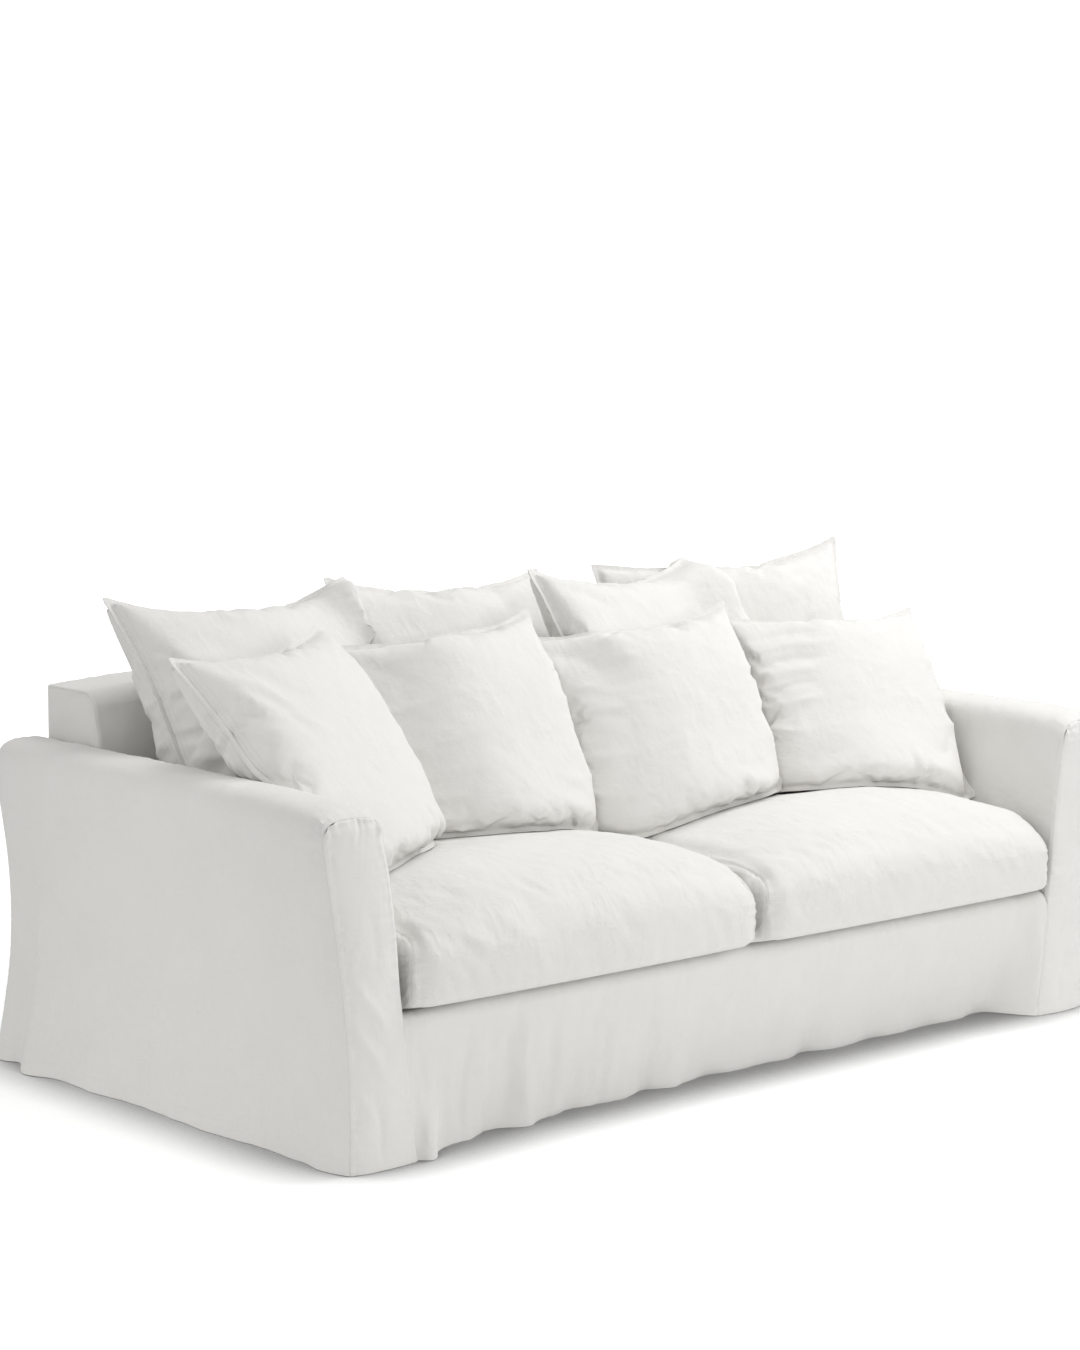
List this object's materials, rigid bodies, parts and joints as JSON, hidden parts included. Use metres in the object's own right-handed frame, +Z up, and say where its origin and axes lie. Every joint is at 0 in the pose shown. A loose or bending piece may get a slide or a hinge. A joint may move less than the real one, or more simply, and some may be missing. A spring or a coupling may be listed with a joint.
{
  "type": "sofa slipcover with seat and scatter cushions",
  "caption": "Loose white linen slipcover in the draped shape of a two-seat sofa, hollow inside, with crowned box seat cushions and leaning knife-edge scatter cushions.",
  "frame": {"origin": "on the floor plane under the middle of the whole set's box", "axes": "+X to the sitter's left along the sofa, which is the right of the picture; -Y towards the front of the sofa; +Z up from the hem"},
  "size_m": [2.0212, 1.1216, 0.9365],
  "materials": {
    "left_arm_cover": "matt washed linen, off-white",
    "left_arm_facing": "matt washed linen, off-white",
    "right_arm_cover": "matt washed linen, off-white",
    "right_arm_facing": "matt washed linen, off-white",
    "skirt_panel": "matt washed linen, off-white",
    "seat_deck": "matt washed linen, off-white",
    "inside_back": "matt washed linen, off-white",
    "back_end_left": "matt washed linen, off-white",
    "back_end_right": "matt washed linen, off-white",
    "outside_back": "matt washed linen, off-white",
    "seat_cushion_left": "matt washed linen, off-white",
    "seat_cushion_right": "matt washed linen, off-white",
    "back_cushion_1": "matt washed linen, off-white",
    "back_cushion_2": "matt washed linen, off-white",
    "back_cushion_3": "matt washed linen, off-white",
    "back_cushion_4": "matt washed linen, off-white",
    "front_cushion_1": "matt washed linen, off-white",
    "front_cushion_2": "matt washed linen, off-white",
    "front_cushion_3": "matt washed linen, off-white",
    "front_cushion_4": "matt washed linen, off-white"
  },
  "bodies": {
    "root": {"left_arm_cover": "left_arm_cover", "left_arm_facing": "left_arm_facing", "right_arm_cover": "right_arm_cover", "right_arm_facing": "right_arm_facing", "skirt_panel": "skirt_panel", "seat_deck": "seat_deck", "inside_back": "inside_back", "back_end_left": "back_end_left", "back_end_right": "back_end_right", "outside_back": "outside_back", "seat_cushion_left": "seat_cushion_left", "seat_cushion_right": "seat_cushion_right", "back_cushion_1": "back_cushion_1", "back_cushion_2": "back_cushion_2", "back_cushion_3": "back_cushion_3", "back_cushion_4": "back_cushion_4", "front_cushion_1": "front_cushion_1", "front_cushion_2": "front_cushion_2", "front_cushion_3": "front_cushion_3", "front_cushion_4": "front_cushion_4"}
  },
  "joints": []
}
